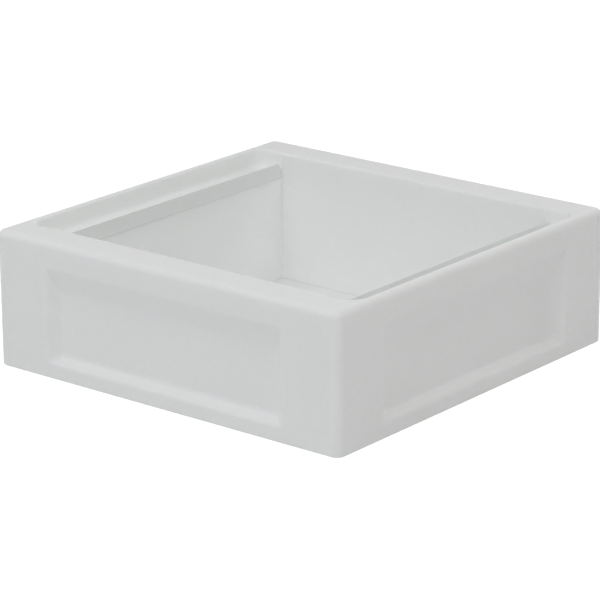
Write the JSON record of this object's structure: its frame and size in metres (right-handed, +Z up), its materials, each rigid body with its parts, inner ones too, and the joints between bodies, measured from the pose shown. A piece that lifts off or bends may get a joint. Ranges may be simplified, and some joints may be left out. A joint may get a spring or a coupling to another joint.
{
  "type": "beehive super",
  "caption": "Shallow square expanded-polystyrene hive box, open at top and bottom, with rebated rest walls, sunk hand-hold panels and lift-out plastic frame runners.",
  "frame": {"origin": "centre of the square footprint, on the surface the box stands on", "axes": "+X across the two walls that carry the frames, from the left wall to the right wall; +Y along those walls, from the front face to the back face; +Z up"},
  "size_m": [0.46, 0.46, 0.15],
  "materials": {
    "eps": "matte",
    "runner_plastic": "satin"
  },
  "bodies": {
    "hive_body": {"hive_body": "eps"},
    "left_runner": {"frame_runner_left": "runner_plastic"},
    "right_runner": {"frame_runner_right": "runner_plastic"}
  },
  "joints": [
    {"name": "left_runner_lift", "type": "slide", "parent": "hive_body", "child": "left_runner", "axis": [0, 0, 1], "range_m": [0, 0.04]},
    {"name": "right_runner_lift", "type": "slide", "parent": "hive_body", "child": "right_runner", "axis": [0, 0, 1], "range_m": [0, 0.04]}
  ]
}
